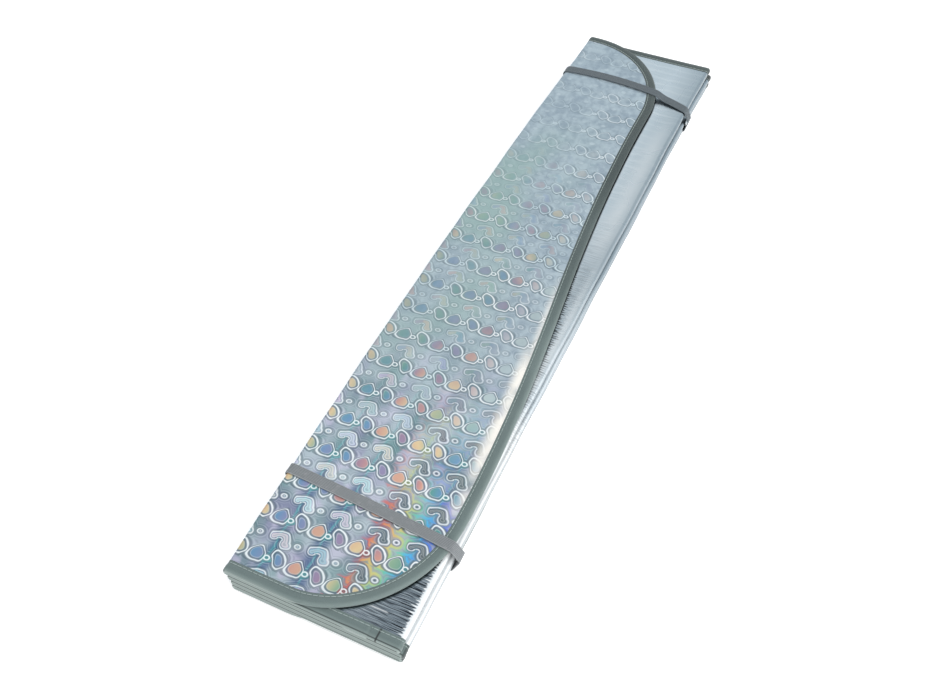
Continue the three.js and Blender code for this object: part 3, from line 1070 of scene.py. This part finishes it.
def silver_film():
    """Face B: plain silver film with fine wrinkles across the panels. Highlights along the folds
    and wrinkles, and shade in the wrinkles, on the rounds, in the slots and beside panel 1's taped
    edge are painted in.
    """
    g = Graph(bpy.data.materials.new("silver_film"))
    u, v = g.uv()
    turn = g.value_of("turn")
    to_fold = g.value_of("to_fold")
    near = g.smooth(v, -180, -330)
    broad = g.noise(u, v, (60, 90))
    wander = (g.noise(u, v, (22, 30), detail=1) - 0.5) * 3
    streaks = g.noise(u, v + wander, (22, 0.95), detail=1, roughness=0.6)
    comb = g.sine((v + wander * 0.8) * 2.4)
    ticks = g.noise(u, v + wander * 0.4, (30, 1.8), detail=1) * 0.8 + comb * 0.11 - 0.4
    off_round = g.smooth(turn, 0.95, 0.55)
    away = g.smooth(to_fold, 0.5, 3)
    beside_fold = g.smooth(to_fold, 46, 6)
    dark_end = g.smooth(v, -275, -325) * away * (0.35 + beside_fold * 0.3)
    # Painted highlight: a pale run on the silver beside the fold in the far half
    pale_highlight = g.window(v, 0, 80, 230, 310) * g.smooth(to_fold, 24, 7) * off_round
    # Painted shade: greyer silver beside the fold in the middle stretch
    mid_shade = g.window(v, -130, -60, -20, 70) * g.smooth(to_fold, 3, 6.5)
    # Painted highlights: light stripes across the far half along the film's wrinkles
    waves = g.sine(v * 0.55 + wander * 1.6) * g.smooth(v, 60, 160)
    seams = g.smooth(g.value_of("edge"), 30, 10)
    creases = g.smooth(v, 130, 10) * (0.5 + seams * 0.4) * (1 - near)
    # Painted shade in the wrinkles and creases, and painted highlights on the wrinkles near the
    # near end
    wrinkle_shade = g.smooth(streaks, 0.5, 0.4) * (near * (0.3 + beside_fold * 0.65) + creases * 0.55)
    wrinkle_glints = g.smooth(streaks, 0.54, 0.66) * near * away
    glint = g.around(v, -377.4, 0.9, 0.3) * g.around(to_fold, 27, 10, 7)
    colour = g.paint(
        g.mix(broad, srgb(206, 217, 224), srgb(228, 236, 240)),
        (dark_end, (116, 134, 146)),
        (pale_highlight * 0.9, (246, 250, 252)),
        (mid_shade * 0.4, (156, 170, 178)),
        (g.smooth(waves, 0.2, 1) * 0.3, (240, 246, 248)),
        (wrinkle_shade * away, (30, 40, 50)),
        (wrinkle_glints * 0.7, (214, 224, 228)),
        (glint * 0.9, (250, 252, 253)),
    )
    # Painted highlight: a white band along the right folds, ragged at its edge and broken by short
    # gaps
    band = g.around(to_fold + ticks * 12, 3.2, 4.8, 2.8)
    band = band * g.window(v, -215, -170, -60, 60) * (0.8 - turn * 0.6)
    teeth = (ticks * 22 + g.smooth(v, -250, -320) * 2) * off_round
    round_light = g.smooth(to_fold + teeth, 3.4, 1.6) * g.smooth(v, -140, -200)
    gleam_gaps = g.smooth(streaks, 0.49, 0.42) * g.window(v, -250, -200, 0, 60)
    gleam_gaps = gleam_gaps * g.smooth(to_fold, 2.5, 6)
    gleam = g.high(band, round_light) * (1 - gleam_gaps * 0.75)
    colour = g.mix(gleam, colour, (0.86, 0.89, 0.9, 1))
    # Painted shadow of panel 1's taped edge on the film beside it, ragged in the middle stretch
    ragged_shadow_zone = g.window(v, -245, -175, -90, 40)
    ragged = ticks * 24 * ragged_shadow_zone
    tape_shadow = g.smooth(g.value_of("past_edge") + ragged, 2.4 + ragged_shadow_zone * 1.2, 0.8)
    shadow = g.smooth(v, -150, -40, 0.6, 0.85) * (1 - g.around(v, -258, 62, 38) * 0.7)
    colour = g.paint(
        colour,
        # painted shade on the rounds, stronger towards the far end
        (g.smooth(v, -170, 60) * turn * 0.7, (146, 160, 168)),
        # painted shade in the slots between the stacked rounds
        (g.value_of("slot") * g.smooth(v, -240, 0, 0.62, 0.5), (96, 106, 112)),
        # painted shadow beside panel 1's taped edge
        (tape_shadow * shadow * (0.4 + off_round * 0.6), (34, 42, 44)),
    )
    wrinkles = g.noise(u, v + wander, (26, 2.2))
    dents = g.noise(u, v, (34, 48))
    height = wrinkles * (0.12 + near * 0.25 + creases * 0.3) + dents * 1.1
    return g.surface(
        base_color=colour,
        metallic=1 - gleam * 0.75 - pale_highlight * 0.1,
        roughness=0.2 + broad * 0.14,
        normal=g.bump(height, 0.0011, 0.8),
    )


# Lines along the tape's width, in millimetres from its first hem: the seam and the edge
SEAM_LINE = 2.3
EDGE_LINE = 11.8


def tape_fabric():
    """Grey-green binding tape with a fine ribbed weave. Shade towards the far end, in the grooves,
    along the seam, under the lap and at the right corners, and highlights on its rounded edge and
    near front are painted in.
    """
    g = Graph(bpy.data.materials.new("tape_fabric"))
    u, v = g.uv()
    across, place, height = g.place()
    weave = g.sine(u * 7.4) * g.sine(v * 9.8)
    grain = g.noise(u, v, (0.9, 0.5))
    # Painted shade: the tape grows darker from the middle towards the far end
    depth = g.smooth(place, -110, 30) * 0.6 + g.smooth(place, 60, 160) * 0.32
    depth = depth - g.smooth(place, 280, 350) * 0.1
    # Painted shade in the grooves between the stacked tape edges on the near end's front
    groove_shade = g.smooth(g.absolute(v - EDGE_LINE), 1.1, 1.7) * g.smooth(place, -397.9, -398.7)
    # Painted shadow of the upper tape end on the lower one at the lap
    lap_shadow = g.around(u, LAP_LENGTH + 0.5, 1.1, 0.3)
    lap_shadow = lap_shadow * (0.35 + g.smooth(g.absolute(v - 5.5), 2.5, 5) * 0.6)
    # Painted shade on the tape's sides at the right folds, near both ends
    corner = g.smooth(across, 76.8, 78.2) * g.smooth(g.absolute(place), 370, 388)
    colour = g.paint(
        g.mix(g.noise(u, v, (40, 9), detail=3), srgb(80, 96, 95), srgb(108, 124, 122)),
        (g.smooth(weave, -0.2, 0.9) * 0.3, (138, 152, 150)),
        (g.smooth(grain, 0.6, 0.3) * 0.25, (62, 76, 76)),
        # painted shade along the seam's dent
        (g.around(v, SEAM_LINE, 1.3, 0.3) * 0.3, (60, 74, 74)),
        # painted highlight on the tape's rounded outer edge
        (g.around(v, EDGE_LINE, 5.2, 2.4) * 0.25, (150, 164, 160)),
        # painted shade towards the far end
        (depth, (37, 53, 52)),
        # painted shade where the tape's inner edge meets the film
        (g.smooth(v, 0.9, 0.2) * 0.5, (40, 50, 50)),
        # painted highlight on the near end's front
        (g.smooth(place, -398.9, -400) * 0.32, (192, 203, 197)),
        # painted shade in the grooves between the stacked tape edges
        (groove_shade * g.smooth(height, 27.4, 26.7) * 0.85, (34, 42, 42)),
        # painted shadow under the lap's upper end
        (lap_shadow, (30, 36, 36)),
        # painted shade at the right folds near both ends
        (corner * 0.85, (36, 46, 46)),
    )
    normal = g.bump(weave * 0.5 + grain * 0.6, 0.00018, 0.8)
    return g.surface(base_color=colour, roughness=0.7, sheen_weight=0.3, normal=normal)


def stitch_thread():
    """Pale thread with a fine grain, for all stitches."""
    g = Graph(bpy.data.materials.new("stitch_thread"))
    across, place, height = g.place()
    twist = g.noise(across * 1.4, place * 1.4, (1, 1), height * 1.4, detail=1)
    return g.surface(
        base_color=g.mix(twist, srgb(146, 160, 156), srgb(174, 186, 182)),
        roughness=0.6,
        normal=g.bump(twist, 0.0001, 0.6),
    )


def woven_elastic():
    """Grey elastic with ribs along it and fine threads across, with painted shade on the far
    strap.
    """
    g = Graph(bpy.data.materials.new("woven_elastic"))
    u, v = g.uv()
    ribs = g.sine(v * 5.2)
    threads = g.sine(u * 7.8 + g.math("SIGN", ribs) * 1.57)
    dust = g.noise(u, v, (6, 4), detail=3)
    cloth = g.smooth(ribs * 0.6 + threads * 0.4, -0.9, 0.9)
    colour = g.paint(
        g.mix(cloth, srgb(94, 99, 103), srgb(142, 146, 148)),
        (g.smooth(dust, 0.55, 0.75) * 0.3, (166, 164, 168)),
        # painted shade: the far strap darker than the near one
        (g.smooth(g.place()[1], 100, 300) * 0.8, (57, 72, 80)),
    )
    normal = g.bump(cloth + dust * 0.3, 0.00022, 0.9)
    return g.surface(base_color=colour, roughness=0.8, sheen_weight=0.25, normal=normal)


def settle(piece, slot, *nodes):
    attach(piece, "root")
    if nodes:
        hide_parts(*nodes)


thread = stitch_thread()
elastic = woven_elastic()

film, film_area, film_width = build_sheet()
film.data.materials.append(patterned_film())
film.data.materials.append(silver_film())
settle(film, "film", "shade_sheet")

tape = build_tape()
tape.data.materials.append(tape_fabric())
settle(tape, "tape", "edge_binding")

stitches = build_stitches()
stitches.data.materials.append(thread)
settle(stitches, "tape")

for node, strap in (("near_strap", NEAR_STRAP), ("far_strap", FAR_STRAP)):
    loop, sewing = build_strap(node + "_band", strap)
    loop.data.materials.append(elastic)
    sewing.data.materials.append(thread)
    settle(loop, "elastic", node)
    settle(sewing, "elastic")

# Floor, light and camera, in metres. The camera's place is in the folded sheet's millimetres
FLOOR_HALF = 6.0
KEY_PLACE = (1.1, -0.9, 2.6)
KEY_SIZE = 2.2
KEY_POWER = 46
CAMERA_PLACE = (244.8, -655.0, 696.9)
CAMERA_AZIMUTH = 24.9
CAMERA_ELEVATION = 48.8
FOCAL_PIXELS = 990.4
PHOTO_WIDTH = 933
SENSOR = 36.0


def build_floor():
    half = FLOOR_HALF
    mesh = bpy.data.meshes.new("floor")
    corners = [(-half, -half, 0), (half, -half, 0), (half, half, 0), (-half, half, 0)]
    mesh.from_pydata(corners, [], [(0, 1, 2, 3)])
    floor = bpy.data.objects.new("floor", mesh)
    bpy.context.scene.collection.objects.link(floor)
    g = Graph(bpy.data.materials.new("pale_floor"))
    floor.data.materials.append(g.surface(
        base_color=(0.95, 0.95, 0.95, 1.0),
        roughness=0.9,
        emission_color=(1.0, 1.0, 1.0, 1.0),
        emission_strength=0.3,
    ))


def build_world():
    """Studio all round: grey-white behind the object, a bright band, a dim ceiling, white walls
    to the right and in front, and a dim one to the left."""
    g = Graph(bpy.data.worlds.new("studio"), "Background")
    x, y, z = g.coordinates("Generated")
    colour = g.ramp(z, [
        (0.0, (0.8, 0.84, 0.88, 1)),
        (0.3, (0.6, 0.67, 0.72, 1)),
        (0.6, (0.64, 0.72, 0.77, 1)),
        (0.72, (0.95, 0.97, 0.98, 1)),
        (0.8, (1.0, 1.0, 1.0, 1)),
        (0.85, (0.6, 0.63, 0.66, 1)),
        (0.9, (0.3, 0.33, 0.36, 1)),
    ])
    colour = g.mix(g.smooth(y * -0.4 + x, 0.2, 0.5), colour, (1.35, 1.35, 1.35, 1))
    colour = g.mix(g.smooth(x, -0.5, -0.85), colour, (0.3, 0.32, 0.33, 1))
    bpy.context.scene.world = g.surface(color=colour, strength=1.0)


def build_key_light():
    data = bpy.data.lights.new("key", "AREA")
    data.shape = "RECTANGLE"
    data.size = data.size_y = KEY_SIZE
    data.energy = KEY_POWER
    lamp = bpy.data.objects.new("key", data)
    lamp.location = KEY_PLACE
    lamp.rotation_euler = (-Vector(KEY_PLACE)).to_track_quat("-Z", "Y").to_euler()
    bpy.context.scene.collection.objects.link(lamp)


def build_camera():
    data = bpy.data.cameras.new("view")
    data.sensor_width = SENSOR
    data.lens = FOCAL_PIXELS / PHOTO_WIDTH * SENSOR
    camera = bpy.data.objects.new("view", data)
    place = (Vector(CAMERA_PLACE) + Vector(SHIFT)) / 1000
    turn = Euler((math.radians(90 - CAMERA_ELEVATION), 0, math.radians(CAMERA_AZIMUTH)))
    camera.matrix_world = Matrix.LocRotScale(place, turn, None)
    bpy.context.scene.collection.objects.link(camera)
    bpy.context.scene.camera = camera


build_floor()
build_world()
build_key_light()
build_camera()
bpy.context.scene.view_settings.view_transform = "Standard"
